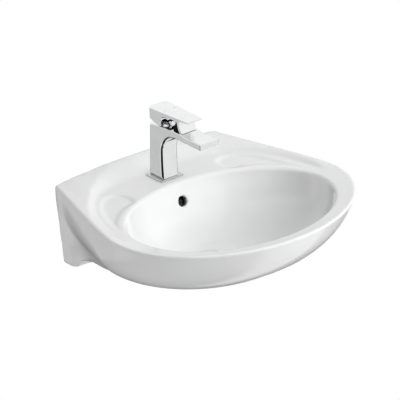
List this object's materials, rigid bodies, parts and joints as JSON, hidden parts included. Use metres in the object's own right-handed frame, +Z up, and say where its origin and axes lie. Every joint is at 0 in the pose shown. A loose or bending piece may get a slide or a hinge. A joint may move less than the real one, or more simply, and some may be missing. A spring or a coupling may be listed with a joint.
{
  "type": "wall hung basin with single lever mixer",
  "caption": "Wall hung china basin with an oval bowl, sunken tap deck, soap dishes, overflow and wall feet, with a chrome single lever mixer and a push open waste.",
  "frame": {"origin": "on the wall plane, on the centre line, at the level of the rim", "axes": "+Z up, +Y into the wall, +X to the right for a person standing in front"},
  "size_m": [0.505, 0.436, 0.2968],
  "materials": {
    "vitreous_china": "glossy white glaze",
    "tap_chrome": "polished",
    "plate_chrome": "polished",
    "handle_chrome": "polished",
    "dome_chrome": "polished",
    "waste_chrome": "polished",
    "brass_bare": "turned",
    "steel_zinc": "zinc plated",
    "rubber_black": "matt",
    "rubber_grey": "matt",
    "disc_ceramic": "lapped",
    "cartridge_plastic": "moulded",
    "aerator_plastic": "moulded",
    "dot_paint": "moulded"
  },
  "bodies": {
    "root": {"basin_body": "vitreous_china", "tap_body": "tap_chrome", "tap_base_plate": "plate_chrome", "tap_base_gasket": "rubber_black", "fixing_stud": "steel_zinc", "fixing_washer_rubber": "rubber_black", "fixing_washer_steel": "steel_zinc", "fixing_nut": "brass_bare", "aerator_housing": "waste_chrome", "aerator_insert": "aerator_plastic", "aerator_washer": "rubber_grey", "cartridge_seals": "rubber_grey", "cartridge_base": "cartridge_plastic", "disc_fixed": "disc_ceramic", "cartridge_housing": "cartridge_plastic", "retaining_nut": "brass_bare", "cartridge_dome": "dome_chrome", "waste_seal": "rubber_grey", "waste_body": "waste_chrome", "waste_gasket": "rubber_black", "waste_back_nut": "brass_bare", "click_housing": "cartridge_plastic", "click_spring": "steel_zinc"},
    "turret": {"stem_carrier": "cartridge_plastic", "stem_pin": "steel_zinc"},
    "slipper": {"disc_moving": "disc_ceramic", "disc_carrier": "cartridge_plastic"},
    "lever": {"lever_handle": "handle_chrome", "stem": "brass_bare", "grub_screw": "steel_zinc", "index_dot_left": "dot_paint", "index_dot_right": "dot_paint"},
    "stopper": {"plug": "waste_chrome", "plug_stem": "brass_bare", "plug_seal": "rubber_black"}
  },
  "joints": [
    {"name": "handle_swivel", "type": "hinge", "parent": "root", "child": "turret", "pos_m": [0, -0.087, 0.0959], "axis": [0, 0.0711, 0.9975], "range_deg": [-45, 45]},
    {"name": "handle_lift", "type": "hinge", "parent": "turret", "child": "lever", "pos_m": [0, -0.08736, 0.09091], "axis": [-1, 0, 0], "range_deg": [0, 22]},
    {"name": "disc_slide", "type": "slide", "parent": "turret", "child": "slipper", "axis": [0, -0.9975, 0.0711], "range_m": [0, 0.0019]},
    {"name": "plug_slide", "type": "slide", "parent": "root", "child": "stopper", "axis": [0, 0, 1], "range_m": [0, 0.008], "deforming": ["click_spring"]}
  ],
  "couplings": [
    {"joint": "disc_slide", "follows": "handle_lift", "m_per_rad": 0.00475}
  ]
}
